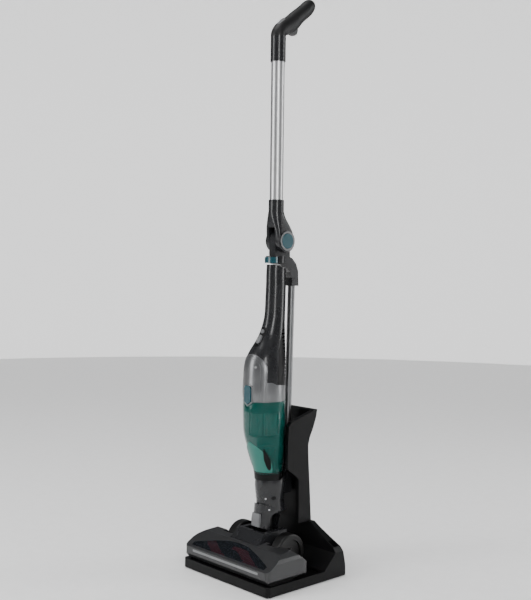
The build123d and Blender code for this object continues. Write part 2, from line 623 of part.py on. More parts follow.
power_room = Pos(0, POWER_Y, POWER_Z) * Rot(POWER_LEAN, 0, 0) * Rot(0, 0, 90) * Pos(0, 0, -8)
TRIGGER_PIVOT = (31.0, 1058.0)
trigger_side = [(31, 1061), (47, 1072), (49.5, 1066), (46.5, 1057.5), (41, 1053.5), (35, 1054),
                (29, 1056)]
trigger_room = side_slab([(27, 1064), (46, 1080), (54, 1070), (50, 1052), (38, 1046), (27, 1051)],
                         -5.4, 5.4)
handle_grip = grip_solid - grip_room
handle_grip -= power_room * extrude(SlotOverall(25.6, 13.6), amount=14)
handle_grip -= trigger_room
save("handle_grip", handle_grip)
save("handle_power_button", power_place * power_pad)
save("handle_trigger", side_slab(trigger_side, -4.8, 4.8))

# ---------------------------------------------------------------- hand vacuum

body_outer = oval_loft(evened(VAC_SECTIONS, 334, 610, 14))
body_inner = oval_loft(evened(VAC_SECTIONS, 330, 614, 14), inset=VAC_WALL)
BIN_SECTIONS = evened(VAC_SECTIONS, 180, 345, 9)
bin_outer = oval_loft(BIN_SECTIONS)
bin_inner = oval_loft(evened(VAC_SECTIONS, 176, 348, 9), inset=VAC_WALL)
top_slope = side_slab([(-30, 604.2), (-12, 603.6), (24, 592), (24, 620), (-30, 620)], -40, 40)
inner_top = side_slab([(-30, 601), (24, 589), (24, 620), (-30, 620)], -40, 40)
body_zone = box(-60, 60, -90, 60, BODY_BOTTOM, 603.9)
vac_shell = (body_outer & body_zone) - top_slope - (body_inner - inner_top)

arch = [(BEZEL_HALF * math.cos(math.radians(t)), BEZEL_TOP - 30 + 30 * math.sin(math.radians(t)))
        for t in range(0, 181, 15)]
bezel_front = front_slab([(BEZEL_HALF, 330)] + arch + [(-BEZEL_HALF, 330)], -90, -26)
bezel_band = side_slab([(-90, 330), (-90, 378), (-40, 378), (-30, 373), (60, 364), (60, 330)], -60, 60)
bezel_zone = bezel_front + bezel_band
RELEASE_Z = 355.0
release_hole = front_slab([(-9.5, 340), (0, 334), (9.5, 340), (9.5, 366), (6, 372), (-6, 372),
                           (-9.5, 366)], -90, -50)
silver_bezel = (vac_shell & bezel_zone) - release_hole
seam = side_slab([(10, 640), (10, 560), (7, 494), (-4, 465), (-18, 436), (-26, 405), (-30, 330),
                  (80, 330), (80, 640)], -60, 60)
hand_shell = vac_shell - bezel_zone

# Button panel on the front slope, leaning with it.
SLOPE = 31.0
PANEL_Y = -38.6
PANEL_Z = 463.5
panel_place = Pos(0, PANEL_Y, PANEL_Z) * Rot(90 - SLOPE, 0, 0)
panel_prism = panel_place * Pos(0, 0, -14) * extrude(Rot(0, 0, 90) * SlotOverall(44, 15), amount=24)
panel_room = panel_place * Pos(0, 0, -14) * extrude(Rot(0, 0, 90) * SlotOverall(44.2, 15.2), amount=24)
front_shell = hand_shell - seam - panel_room
rear_shell = hand_shell & seam
VENT_COUNT = 14
for index in range(VENT_COUNT):
    vent_z = 384 + index * 7
    for s in (-1, 1):
        rear_shell -= box(min(s * 9, s * 60), max(s * 9, s * 60), -2, 12, vent_z, vent_z + 3)
button_panel = (hand_shell - seam) & panel_prism
ROUND_AT = 12.0
OVAL_AT = -5.0
panel_frame = panel_place * Rot(0, 0, 90)
round_hole = panel_frame * Pos(ROUND_AT, 0, -14) * extrude(Circle(4.7), amount=24)
oval_hole = panel_frame * Pos(OVAL_AT, 0, -14) * extrude(SlotOverall(19.6, 10.2), amount=24)
button_panel = button_panel - round_hole - oval_hole
save("hand_front_shell", front_shell)
save("hand_rear_shell", rear_shell)
save("button_panel", button_panel)
save("round_button", panel_frame * Pos(ROUND_AT, 0, -3) * extrude(Circle(4.3), amount=4.6))
save("oval_button", panel_frame * Pos(OVAL_AT, 0, -3) * extrude(SlotOverall(18.8, 9.4), amount=4.2))

LAMP_X = 15.0
LAMP_Z = 407.0
lamp_hole = Pos(LAMP_X, -60, LAMP_Z) * Rot(90, 0, 0) * Cylinder(2.6, 20)
silver_bezel -= lamp_hole
save("silver_bezel", silver_bezel)
save("indicator_lamp", (Pos(LAMP_X, -60, LAMP_Z) * Rot(90, 0, 0) * Cylinder(2.55, 20)) & vac_shell)

release_button = front_slab([(-9, 340.6), (0, 335), (9, 340.6), (9, 365.6), (5.8, 371.4), (-5.8, 371.4),
                             (-9, 365.6)], -70.6, -66)
save("bin_release_button", release_button)

# Dust bin: clear shell, its lid with the filter, and the dark nozzle at its foot.
bin_zone = box(-60, 60, -90, 60, BIN_BOTTOM, BODY_BOTTOM - 0.3)
button_notch = front_slab([(-10.6, 345), (-10.6, 339.4), (0, 333), (10.6, 339.4), (10.6, 345)], -90, -60)
dust_bin = (bin_outer & bin_zone) - bin_inner - button_notch
save("dust_bin", dust_bin)

LID_INSET = VAC_WALL + 0.9
lid_solid = oval_loft(BIN_SECTIONS, inset=LID_INSET) & box(-60, 60, -90, 60, 318, BODY_BOTTOM - 0.5)
lid_hole = rod_z(22, 300, 360, 0, -26)
filter_frame = lid_solid - lid_hole - box(-12, 12, -90, -58, 330, 345)
filter_frame += rod_z(29, 270.5, 273.9, 0, -26)
for index in range(4):
    angle = math.radians(45 + 90 * index)
    filter_frame += rod_z(1.3, 271, 320, 27.5 * math.cos(angle), -26 + 27.5 * math.sin(angle))
save("filter_frame", filter_frame)

PLEATS = 20
pleat_outline = []
for index in range(2 * PLEATS):
    radius = 25.0 if index % 2 else 21.5
    angle = math.pi * index / PLEATS
    pleat_outline.append((radius * math.cos(angle), -26 + radius * math.sin(angle), 274))
pleats = extrude(make_face(Polyline(*pleat_outline, close=True)), amount=43.9, dir=(0, 0, 1))
pleats -= rod_z(18, 270, 330, 0, -26)
save("filter_pleats", pleats)

nozzle_solid = bin_outer & box(-60, 60, -90, 60, COLLAR_LOW, BIN_BOTTOM - 0.1)
nozzle_solid += box(-17, 17, -28, 0, 173, COLLAR_LOW)
duct = oval_loft([(BIN_BOTTOM - 2, -13, 15, 13), (228, -14, 15, 12), (244, -12, 14, 11)])
nozzle_solid += duct
nozzle_way = box(-14, 14, -25, -3, 170, 192)
nozzle_way += oval_loft([(188, -13, 12.6, 10.4), (228, -14, 12.6, 9.8), (246, -12, 11.8, 9)])
save("bin_nozzle", nozzle_solid - nozzle_way)
flap = Pos(0, -12, 246.4) * Rot(4, 0, 0) * Box(26, 22, 1.4)
save("inlet_flap", flap)

# Drive inside the hand vacuum.
FAN_Y = -22.0
fan = rod_z(27, 372, 376, 0, FAN_Y)
for index in range(9):
    blade = Pos(0, FAN_Y, 381) * Rot(0, 0, index * 40) * Pos(16, 0, 0) * Rot(0, 0, 25) * Box(18, 1.6, 10)
    fan += blade
fan += rod_z(6, 370, 386, 0, FAN_Y)
fan += rod_z(2, 386, 424, 0, FAN_Y)
save("fan", fan)
motor = rod_z(22, 388, 426, 0, FAN_Y) - rod_z(2.05, 380, 430, 0, FAN_Y)
save("suction_motor", motor)
cells = []
for index in range(2):
    low = 458 + index * 66
    cells.append(rod_z(9.1, low, low + 65, 0, 3))
save("battery_cells", Compound(children=cells))
save("circuit_board", box(-12, 12, 8, 9.6, 432, 456))
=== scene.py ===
import json
import math
import random

import bmesh
import bpy
from mathutils import Matrix, Vector
from mathutils.bvhtree import BVHTree


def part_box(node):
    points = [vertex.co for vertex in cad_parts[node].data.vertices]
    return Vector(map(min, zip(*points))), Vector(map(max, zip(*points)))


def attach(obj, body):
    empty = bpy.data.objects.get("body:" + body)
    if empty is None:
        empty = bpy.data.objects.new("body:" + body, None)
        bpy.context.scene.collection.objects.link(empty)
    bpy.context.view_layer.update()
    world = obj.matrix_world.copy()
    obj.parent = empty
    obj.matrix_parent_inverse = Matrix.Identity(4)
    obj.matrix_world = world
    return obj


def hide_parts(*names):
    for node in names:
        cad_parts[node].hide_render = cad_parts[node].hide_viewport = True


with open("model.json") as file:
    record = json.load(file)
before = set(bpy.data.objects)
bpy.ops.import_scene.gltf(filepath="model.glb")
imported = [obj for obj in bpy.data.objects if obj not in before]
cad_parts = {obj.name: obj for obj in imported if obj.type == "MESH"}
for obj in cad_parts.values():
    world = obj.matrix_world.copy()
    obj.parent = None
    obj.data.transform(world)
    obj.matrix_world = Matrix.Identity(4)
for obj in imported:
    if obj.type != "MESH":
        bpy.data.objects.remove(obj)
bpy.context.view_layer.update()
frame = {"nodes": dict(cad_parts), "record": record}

# Cordless stick vacuum on its dock, in metres. The front faces -Y, and +X is on the right of someone who
# looks at the front. The labels left and right are that onlooker's.

# The camera stands front-right of the object at half its height, looks slightly down and leans a little.
IMAGE_HEIGHT = 600
FOCAL = 962.1
SENSOR = 36.0
CAMERA_AT = (1.3726, -1.2793, 0.6125)
AZIMUTH = math.radians(47.25)
PITCH = math.radians(2.38)
ROLL = math.radians(0.7)

# Noise spends nearly all of its range between these values.
NOISE_LOW = 0.3
NOISE_HIGH = 0.7
RAMP_LOW = 0.32
RAMP_HIGH = 0.68

# Depths of surface relief
GRAIN_DEPTH = 0.0002
LINE_DEPTH = 0.0001
RIB_DEPTH = 0.0006
FIBRE_DEPTH = 0.0004


# ---------------------------------------------------------------- materials

def new_material(name):
    """Empty node material with its output, shader and object coordinates."""
    material = bpy.data.materials.new(name)
    material.use_nodes = True
    nodes = material.node_tree.nodes
    nodes.clear()
    output = nodes.new("ShaderNodeOutputMaterial")
    shader = nodes.new("ShaderNodeBsdfPrincipled")
    coords = nodes.new("ShaderNodeTexCoord")
    material.node_tree.links.new(shader.outputs["BSDF"], output.inputs["Surface"])
    return material, shader, coords.outputs["Object"]


def scaled(material, vector, scale):
    """Coordinates stretched by a scale for each axis."""
    mapping = material.node_tree.nodes.new("ShaderNodeMapping")
    mapping.inputs["Scale"].default_value = scale
    material.node_tree.links.new(vector, mapping.inputs["Vector"])
    return mapping.outputs["Vector"]


def noise(material, vector, scale, detail=4.0):
    """Noise value at the given coordinates."""
    node = material.node_tree.nodes.new("ShaderNodeTexNoise")
    node.inputs["Scale"].default_value = scale
    node.inputs["Detail"].default_value = detail
    material.node_tree.links.new(vector, node.inputs["Vector"])
    return node.outputs["Fac"]


def wave(material, vector, scale, axis):
    """Even bands across one axis."""
    node = material.node_tree.nodes.new("ShaderNodeTexWave")
    node.bands_direction = axis
    node.wave_profile = "SIN"
    node.inputs["Scale"].default_value = scale
    node.inputs["Distortion"].default_value = 0.0
    material.node_tree.links.new(vector, node.inputs["Vector"])
    return node.outputs["Fac"]


def ranged(material, value, low, high):
    """Noise value spread over a range."""
    node = material.node_tree.nodes.new("ShaderNodeMapRange")
    node.inputs["From Min"].default_value = NOISE_LOW
    node.inputs["From Max"].default_value = NOISE_HIGH
    node.inputs["To Min"].default_value = low
    node.inputs["To Max"].default_value = high
    material.node_tree.links.new(value, node.inputs["Value"])
    return node.outputs["Result"]


def blended(material, factor, first, second):
    """Colour between two, by a noise value."""
    ramp = material.node_tree.nodes.new("ShaderNodeValToRGB")
    ramp.color_ramp.elements[0].position = RAMP_LOW
    ramp.color_ramp.elements[1].position = RAMP_HIGH
    ramp.color_ramp.elements[0].color = (*first, 1.0)
    ramp.color_ramp.elements[1].color = (*second, 1.0)
    material.node_tree.links.new(factor, ramp.inputs["Fac"])
    return ramp.outputs["Color"]


def bumped(material, height, strength, distance, under=None):
    """Bump normal from a height value, on top of another bump if there is one."""
    node = material.node_tree.nodes.new("ShaderNodeBump")
    node.inputs["Strength"].default_value = strength
    node.inputs["Distance"].default_value = distance
    material.node_tree.links.new(height, node.inputs["Height"])
    if under is not None:
        material.node_tree.links.new(under, node.inputs["Normal"])
    return node.outputs["Normal"]


def moulded(name, colour, roughness, spread=0.06, tint=0.12, grain=2600.0, depth=0.12, coat=0.0,
            metallic=0.0, specular=0.5):
    """Moulded plastic, slightly uneven in gloss and colour, as material, shader and coordinates."""
    material, shader, coords = new_material(name)
    links = material.node_tree.links
    broad = noise(material, coords, 38.0, 5.0)
    fine = noise(material, coords, grain, 2.0)
    dark = tuple(c * (1 - tint) for c in colour)
    light = tuple(c * (1 + tint) for c in colour)
    links.new(blended(material, broad, dark, light), shader.inputs["Base Color"])
    links.new(ranged(material, broad, roughness - spread, roughness + spread), shader.inputs["Roughness"])
    links.new(bumped(material, fine, depth, GRAIN_DEPTH), shader.inputs["Normal"])
    shader.inputs["Coat Weight"].default_value = coat
    shader.inputs["Coat Roughness"].default_value = 0.08
    shader.inputs["Metallic"].default_value = metallic
    shader.inputs["Specular IOR Level"].default_value = specular
    return material, shader, coords


def plastic(name, **finish):
    """Opaque moulding."""
    return moulded(name, **finish)[0]


def clear_plastic(name, colour, alpha, roughness):
    """See-through moulding with faint flow marks."""
    material, shader, _ = moulded(name, colour, roughness, spread=0.03, tint=0.1, grain=900.0, depth=0.03,
                                  coat=0.05, specular=0.28)
    shader.inputs["Alpha"].default_value = alpha
    shader.inputs["IOR"].default_value = 1.5
    return material


def ribbed(name, colour, roughness, scale, axis):
    """Moulding with even ribs across one axis."""
    material, shader, coords = moulded(name, colour, roughness)
    ribs = wave(material, coords, scale, axis)
    grain = bumped(material, noise(material, coords, 2600.0, 2.0), 0.1, GRAIN_DEPTH)
    relief = bumped(material, ribs, 0.6, RIB_DEPTH, grain)
    material.node_tree.links.new(relief, shader.inputs["Normal"])
    return material


def brushed(name, colour, roughness, depth=0.12):
    """Anodised or brushed metal, its fine lines running along Z."""
    material, shader, coords = new_material(name)
    links = material.node_tree.links
    lines = noise(material, scaled(material, coords, (60, 60, 1)), 160.0, 3.0)
    broad = noise(material, coords, 22.0, 4.0)
    shade = tuple(c * 0.94 for c in colour)
    links.new(blended(material, broad, shade, colour), shader.inputs["Base Color"])
    links.new(ranged(material, lines, roughness - 0.05, roughness + 0.07), shader.inputs["Roughness"])
    links.new(bumped(material, lines, depth, LINE_DEPTH), shader.inputs["Normal"])
    shader.inputs["Metallic"].default_value = 1.0
    return material


def cloth(name, colour, shade):
    """Felt or nylon with short fibres."""
    material, shader, coords = new_material(name)
    links = material.node_tree.links
    fibres = noise(material, coords, 1400.0, 6.0)
    links.new(blended(material, fibres, shade, colour), shader.inputs["Base Color"])
    links.new(bumped(material, fibres, 0.5, FIBRE_DEPTH), shader.inputs["Normal"])
    shader.inputs["Roughness"].default_value = 0.75
    shader.inputs["Sheen Weight"].default_value = 0.4
    return material


PLASTICS = {
    "black_plastic": dict(colour=(0.0030, 0.0030, 0.0033), roughness=0.40, spread=0.05, tint=0.2,
                          grain=2400, depth=0.03, specular=0.15),
    "charcoal_gloss": dict(colour=(0.0105, 0.0108, 0.012), roughness=0.27, spread=0.02, tint=0.10,
                           grain=1800, depth=0.015, coat=0.2, specular=0.34),
    "gunmetal": dict(colour=(0.019, 0.0193, 0.0203), roughness=0.34, spread=0.03, tint=0.08,
                     grain=3200, depth=0.05, coat=0.15, metallic=0.15),
    "silver_paint": dict(colour=(0.155, 0.158, 0.162), roughness=0.31, spread=0.02, tint=0.06,
                         grain=4200, depth=0.04, coat=0.15, metallic=0.8),
    "teal": dict(colour=(0.001, 0.040, 0.053), roughness=0.26, spread=0.03, tint=0.10,
                 grain=1600, depth=0.02, coat=0.3),
    "light_grey": dict(colour=(0.11, 0.112, 0.116), roughness=0.42, spread=0.04, tint=0.06,
                       grain=2600, depth=0.10),
    "milky_green": dict(colour=(0.007, 0.115, 0.090), roughness=0.36, spread=0.03, tint=0.08,
                        grain=900, depth=0.03, coat=0.1),
    "grip_black": dict(colour=(0.0055, 0.0055, 0.006), roughness=0.50, spread=0.04, tint=0.15,
                       grain=3000, depth=0.16, specular=0.35),
    "board_green": dict(colour=(0.015, 0.11, 0.035), roughness=0.35, spread=0.05, tint=0.2,
                        grain=700, depth=0.1),
    "rubber_black": dict(colour=(0.004, 0.004, 0.004), roughness=0.34, spread=0.05, tint=0.2,
                         grain=1800, depth=0.12, specular=0.35),
}
METALS = {
    "anodised": dict(colour=(0.58, 0.585, 0.59), roughness=0.36, depth=0.03),
    "dark_aluminium": dict(colour=(0.20, 0.203, 0.207), roughness=0.36, depth=0.03),
    "steel": dict(colour=(0.55, 0.55, 0.56), roughness=0.28),
    "motor_metal": dict(colour=(0.36, 0.36, 0.37), roughness=0.38),
    "brass": dict(colour=(0.68, 0.47, 0.19), roughness=0.28),
}
CLEARS = {
    "teal_clear": dict(colour=(0.0002, 0.066, 0.054), alpha=0.52, roughness=0.12),
    "smoke_clear": dict(colour=(0.008, 0.010, 0.013), alpha=0.50, roughness=0.06),
}
CLOTHS = {
    "red_bristle": dict(colour=(0.62, 0.02, 0.09), shade=(0.36, 0.01, 0.05)),
    "filter_cloth": dict(colour=(0.25, 0.36, 0.33), shade=(0.12, 0.18, 0.17)),
}
MATERIALS = {}
for make, finishes in ((plastic, PLASTICS), (brushed, METALS), (clear_plastic, CLEARS), (cloth, CLOTHS)):
    for slot, finish in finishes.items():
        MATERIALS[slot] = make(slot, **finish)
MATERIALS["white_lens"] = ribbed("white_lens", (0.18, 0.183, 0.186), 0.34, 230.0, "Z")


# ---------------------------------------------------------------- CAD nodes

def finish_nodes():
    """Gives each CAD node the material of its slot."""
    slot_of = {entry["node"]: entry["material_slot"] for entry in frame["record"]["subparts"]}
    for name, node in frame["nodes"].items():
        material = MATERIALS[slot_of[name]]
        for place in node.material_slots:
            place.material = material
        if not node.material_slots:
            node.data.materials.append(material)


def smooth_edges(name, width):
    """Rounds a CAD node's sharp edges for the render, leaving its own mesh as it is."""
    node = frame["nodes"][name]
    weld = node.modifiers.new("weld", "WELD")
    weld.merge_threshold = 0.00002
    bevel = node.modifiers.new("edges", "BEVEL")
    bevel.width = width
    bevel.segments = 3
    bevel.limit_method = "ANGLE"
    bevel.angle_limit = math.radians(28.0)
    bevel.harden_normals = False
    weighted = node.modifiers.new("normals", "WEIGHTED_NORMAL")
    weighted.keep_sharp = True


BODY_OF = {}
for body, names in frame["record"]["behaviour"]["bodies"].items():
    for name in names:
        BODY_OF[name] = body

EDGE_WIDTHS = {
    "dock_tray": 0.0016,
    "dock_column": 0.0018,
    "head_base": 0.0006,
    "head_hood": 0.0010,
    "upper_yoke": 0.0010,
    "frame_socket": 0.0008,
    "neck_yoke": 0.0010,
    "fold_fork": 0.0009,
    "handle_trigger": 0.0008,
}
finish_nodes()


# ---------------------------------------------------------------- mesh helpers

# Rays start this far from the object's axis.
REACH_FRONT = 0.4
REACH_ROUND = 0.2

# A wrapped panel rises to its full height over its outer eighth, and its rim is sunk into the surface.
RIM_SLOPE = 8.0
RIM_START = 0.99
RIM_SINK = 0.0001


def finish_piece(name, mesh_builder, slot, body, smooth=True, hides=()):
    """Turns a bmesh into a piece that rides on a body and takes its finish from a slot."""
    mesh = bpy.data.meshes.new(name)
    mesh_builder.to_mesh(mesh)
    mesh_builder.free()
    if smooth:
        for face in mesh.polygons:
            face.use_smooth = True
    piece = bpy.data.objects.new(name, mesh)
    bpy.context.scene.collection.objects.link(piece)
    mesh.materials.append(MATERIALS[slot])
    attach(piece, body)
    if hides:
        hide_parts(*hides)
    return piece


def surface_of(*names):
    """Ray-cast tree of one or more CAD nodes."""
    builder = bmesh.new()
    for name in names:
        builder.from_mesh(frame["nodes"][name].data)
    tree = BVHTree.FromBMesh(builder)
    builder.free()
    return tree


def from_front(tree, x, z):
    """Point and outward normal where a line along +Y first meets the surface."""
    point, normal, _, _ = tree.ray_cast(Vector((x, -REACH_FRONT, z)), Vector((0, 1, 0)))
    if point is None:
        return None, None
    if normal.y > 0:
        normal = -normal
    return point, normal


def from_side(tree, middle, turn):
    """Point where a level line towards a middle point meets the surface, and the direction it came from."""
    outward = Vector((math.sin(turn), -math.cos(turn), 0))
    point, _, _, _ = tree.ray_cast(middle + outward * REACH_ROUND, -outward)
    return point, outward


def bead(name, track, radius, slot, body, flat=0.6, closed=False, sides=6):
    """Low rounded bead that follows points on a surface. Each point comes with its outward normal."""
    builder = bmesh.new()
    rings = []
    count = len(track)
    for index, (point, normal) in enumerate(track):
        before = track[(index - 1) % count][0] if closed or index else point
        after = track[(index + 1) % count][0] if closed or index < count - 1 else point
        along = (after - before).normalized()
        across = along.cross(normal).normalized()
        ring = []
        for step in range(sides):
            turn = 2 * math.pi * step / sides
            offset = across * (radius * math.cos(turn)) + normal * (radius * flat * math.sin(turn))
            ring.append(builder.verts.new(point + offset))
        rings.append(ring)
    spans = count if closed else count - 1
    for index in range(spans):
        here = rings[index]
        there = rings[(index + 1) % count]
        for step in range(sides):
            other = (step + 1) % sides
            builder.faces.new((here[step], here[other], there[other], there[step]))
    if not closed:
        builder.faces.new(rings[0])
        builder.faces.new(list(reversed(rings[-1])))
    bmesh.ops.recalc_face_normals(builder, faces=builder.faces)
    return finish_piece(name, builder, slot, body)


def wrapped(name, tree, middle_y, outline, slot, body, lift, cells=40):
    """Thin raised panel wrapped round an upright surface.

    outline(u, v) turns a square from -1 to 1 into the angle from the front and the height.
    """
    builder = bmesh.new()
    grid = {}
    for i in range(cells + 1):
        for j in range(cells + 1):
            u = 2 * i / cells - 1
            v = 2 * j / cells - 1
            turn, z = outline(u, v)
            point, outward = from_side(tree, Vector((0, middle_y, z)), turn)
            if point is not None:
                edge = max(abs(u), abs(v))
                height = lift * min(1.0, (1.0 - edge) * RIM_SLOPE) - RIM_SINK * (edge > RIM_START)
                grid[i, j] = builder.verts.new(point + outward * height)
    for i in range(cells):
        for j in range(cells):
            corners = [(i, j), (i + 1, j), (i + 1, j + 1), (i, j + 1)]
            if all(c in grid for c in corners):
                builder.faces.new([grid[c] for c in corners])
    return finish_piece(name, builder, slot, body)


def round_map(u, v):
    """Unit square to unit disc."""
    x = u * math.sqrt(max(0.0, 1 - v * v / 2))
    y = v * math.sqrt(max(0.0, 1 - u * u / 2))
    return x, y


# ---------------------------------------------------------------- hand vacuum details

BEZEL_LOW, BEZEL_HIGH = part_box("silver_bezel")
BEZEL_ARCH_Z = BEZEL_HIGH.z - 0.030
RIDGE_HALF = 0.0322
RIDGE_RISE = 0.0295
RIDGE_INSETS = (0.0, 0.0040, 0.0078)
SIDE_STEPS = 14
ARCH_STEPS = 40

BIN_LOW, BIN_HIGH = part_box("dust_bin")
BIN_MIDDLE_Y = -0.003
BIN_HALF_WIDTH = BIN_HIGH.x
BIN_HALF_DEPTH = (BIN_HIGH.y - BIN_LOW.y) / 2
BIN_FRONT = BIN_LOW.y + 0.0002
DOME_FOOT = BIN_LOW.z + 0.003
DOME_HEIGHT = 0.062
DOME_HALF_TURN = math.radians(75)
SEAM_STEPS = 72


def arch_track(tree, half, rise, foot_z):
    """Points up one side, over an arch and down the other side, laid on a front surface."""
    spots = [(half, foot_z + (BEZEL_ARCH_Z - foot_z) * step / SIDE_STEPS) for step in range(SIDE_STEPS)]
    for step in range(ARCH_STEPS + 1):
        turn = math.pi * step / ARCH_STEPS
        spots.append((half * math.cos(turn), BEZEL_ARCH_Z + rise * math.sin(turn)))
    spots += [(-x, z) for x, z in reversed(spots[:SIDE_STEPS])]
    track = []
    for x, z in spots:
        point, normal = from_front(tree, x, z)
        if point is not None:
            track.append((point + normal * 0.0001, normal))
    return track


def bezel_ridges():
    """Stepped ridges that follow the arched panel down to the bin."""
    tree = surface_of("silver_bezel", "hand_front_shell", "button_panel")
    foot = BEZEL_LOW.z + 0.002
    for index, inset in enumerate(RIDGE_INSETS):
        track = arch_track(tree, RIDGE_HALF - inset, RIDGE_RISE - inset, foot + 0.002 * index)
        radius = 0.0008 - 0.0001 * index
        bead(f"bezel_step_{index}", track, radius, "silver_paint", BODY_OF["silver_bezel"], 0.8)


def dome(u, v):
    """Square to a dome that is widest at its foot, as angle from the front and height."""
    part = (v + 1) / 2
    narrowing = max(0.02, 1 - part ** 1.9)
    return u * DOME_HALF_TURN * narrowing, DOME_FOOT + DOME_HEIGHT * part


def drop(side):
    """Outline of a drop on one side: pointed at its top, leaning outwards towards its foot."""
    half_width = math.radians(12)
    middle_turn = math.radians(50)
    lean = math.radians(11)
    middle_z = DOME_FOOT + 0.0265
    half_height = 0.0225

    def outline(u, v):
        x, z = round_map(u, v)
        width = half_width * (1 - 0.62 * max(z, 0.0))
        return side * (middle_turn - lean * z + x * width), middle_z + half_height * z
    return outline


def bin_windows():
    """Milky dome on the lower front of the bin, with a dark drop-shaped window on each side."""
    tree = surface_of("dust_bin")
    body = BODY_OF["dust_bin"]
    wrapped("bin_dome", tree, BIN_MIDDLE_Y, dome, "milky_green", body, 0.0007)
    for side, label in ((-1, "left"), (1, "right")):
        wrapped(f"bin_drop_{label}", tree, BIN_MIDDLE_Y, drop(side), "black_plastic", body, 0.0014, 28)


def release_outline():
    """Outline in X and Z of the rim round the release button: straight sides, a V foot and a low arch."""
    low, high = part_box("bin_release_button")
    half = high.x + 0.0019
    foot = low.z - 0.0030
    knee = low.z + 0.0052
    top = high.z - 0.004
    arch_rise = 0.0052
    edge_steps = 10
    arch_steps = 20
    corners = [(half, top), (half, knee), (0.0, foot), (-half, knee), (-half, top)]
    spots = []
    for (x0, z0), (x1, z1) in zip(corners, corners[1:]):
        for step in range(edge_steps):
            spots.append((x0 + (x1 - x0) * step / edge_steps, z0 + (z1 - z0) * step / edge_steps))
    spots.append(corners[-1])
    for step in range(1, arch_steps):
        turn = math.pi * step / arch_steps
        spots.append((-half * math.cos(turn), top + arch_rise * math.sin(turn)))
    return spots


def release_surround():
    """Silver rim round the release button, bent to the oval of the hand vacuum's front."""
    track = []
    for x, z in release_outline():
        share = x / BIN_HALF_WIDTH
        y = BIN_FRONT + BIN_HALF_DEPTH * (1 - math.sqrt(1 - share ** 2))
        normal = Vector((share, -1, 0)).normalized()
        track.append((Vector((x, y, z)) + normal * 0.0002, normal))
    bead("release_surround", track, 0.0017, "silver_paint", BODY_OF["silver_bezel"], 0.75, True, 10)


def bin_foot_bead():
    """Thin bead right round the bin's foot."""
    tree = surface_of("dust_bin")
    middle = Vector((0, (BIN_LOW.y + BIN_HIGH.y) / 2, BIN_LOW.z + 0.002))
    track = []
    for step in range(SEAM_STEPS):
        point, outward = from_side(tree, middle, 2 * math.pi * step / SEAM_STEPS)
        if point is not None:
            track.append((point + outward * 0.0001, outward))
    bead("bin_foot_bead", track, 0.0009, "charcoal_gloss", BODY_OF["dust_bin"], 0.8, True)


bezel_ridges()
bin_windows()
release_surround()
bin_foot_bead()


# ---------------------------------------------------------------- neck details

NECK_MIDDLE_Y = 0.008
SOCKET_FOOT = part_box("frame_socket")[0].z

# Angle from the front and height of each spot's middle, half its angle and height, and its finish. The two
# steel spots are painted highlights where the socket's round sides catch the light; the black one is a
# slot.
NECK_HIGHLIGHTS_AND_SLOT = (
    (30, SOCKET_FOOT + 0.027, 3.6, 0.0019, "steel"),
    (45, SOCKET_FOOT + 0.006, 3.4, 0.0017, "steel"),
    (64, SOCKET_FOOT + 0.028, 12.0, 0.0038, "black_plastic"),
)


def oval(side, middle_turn, middle_z, half_turn, half_z):
    """Outline of an oval that is wrapped round one side of the neck."""
    def outline(u, v):
        x, z = round_map(u, v)
        return side * math.radians(middle_turn + x * half_turn), middle_z + z * half_z
    return outline


def painted_neck_highlights_and_slots():
    """Two bright steel spots, which are painted highlights, and a dark slot on each side of the frame's
    socket.
    """
    tree = surface_of("frame_socket", "neck_yoke")
    body = BODY_OF["frame_socket"]
    for side, label in ((-1, "left"), (1, "right")):
        for index, (turn, z, half_turn, half_z, slot) in enumerate(NECK_HIGHLIGHTS_AND_SLOT):
            outline = oval(side, turn, z, half_turn, half_z)
            # The steel spots are painted highlights on the socket's curve, not parts of the object.
            wrapped(f"neck_spot_{label}_{index}", tree, NECK_MIDDLE_Y, outline, slot, body, 0.0007, 14)


painted_neck_highlights_and_slots()


# ---------------------------------------------------------------- light strip

def light_frame():
    """Two lips over the light strip's upper and lower edge, which leave a narrow lit slot."""
    low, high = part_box("light_bar")
    lip = 0.0014
    thickness = 0.0012
    size = Vector((high.x - low.x, thickness, lip))
    builder = bmesh.new()
    for foot in (low.z, high.z - lip):
        middle = Vector(((low.x + high.x) / 2, low.y + thickness / 4, foot + lip / 2))
        block = bmesh.ops.create_cube(builder, size=1.0)
        for vert in block["verts"]:
            vert.co = middle + Vector([part * length for part, length in zip(vert.co, size)])
    finish_piece("light_frame", builder, "gunmetal", BODY_OF["light_bar"], False)


light_frame()


# ---------------------------------------------------------------- brush

SEED = 512
ROOT_RADIUS = 0.0128
TIP_RADIUS = 0.0203
ROW_HALF = 0.086
ROW_TURNS = 0.9
TUFTS = 76
STRANDS = 22
TUFT_SPREAD = 0.55
STRAND_RADIUS = 0.0006
STRAND_CORNERS = (0.0, 2.1, 4.2)


def strand_ring(builder, centre, side):
    """Three corners round a strand, square to its length. side is the direction across the brush core."""
    ring = []
    for turn in STRAND_CORNERS:
        offset = side * (STRAND_RADIUS * math.cos(turn)) + Vector((STRAND_RADIUS * math.sin(turn), 0, 0))
        ring.append(builder.verts.new(centre + offset))
    return ring


def strand(builder, rng, middle, x, turn):
    """One nylon strand, at a random lean and length round the given place."""
    lean = turn + rng.uniform(-TUFT_SPREAD, TUFT_SPREAD)
    root_x = x + rng.uniform(-0.0018, 0.0018)
    length = TIP_RADIUS - rng.uniform(0.0, 0.0012)
    tip_x = root_x + rng.uniform(-0.0012, 0.0012)
    out = Vector((0, -math.sin(lean), math.cos(lean)))
    side = Vector((0, out.z, -out.y))
    base = strand_ring(builder, middle + Vector((root_x, 0, 0)) + out * ROOT_RADIUS, side)
    head = strand_ring(builder, middle + Vector((tip_x, 0, 0)) + out * length, side)
    for k in range(3):
        builder.faces.new((base[k], base[(k + 1) % 3], head[(k + 1) % 3], head[k]))
    builder.faces.new(head)


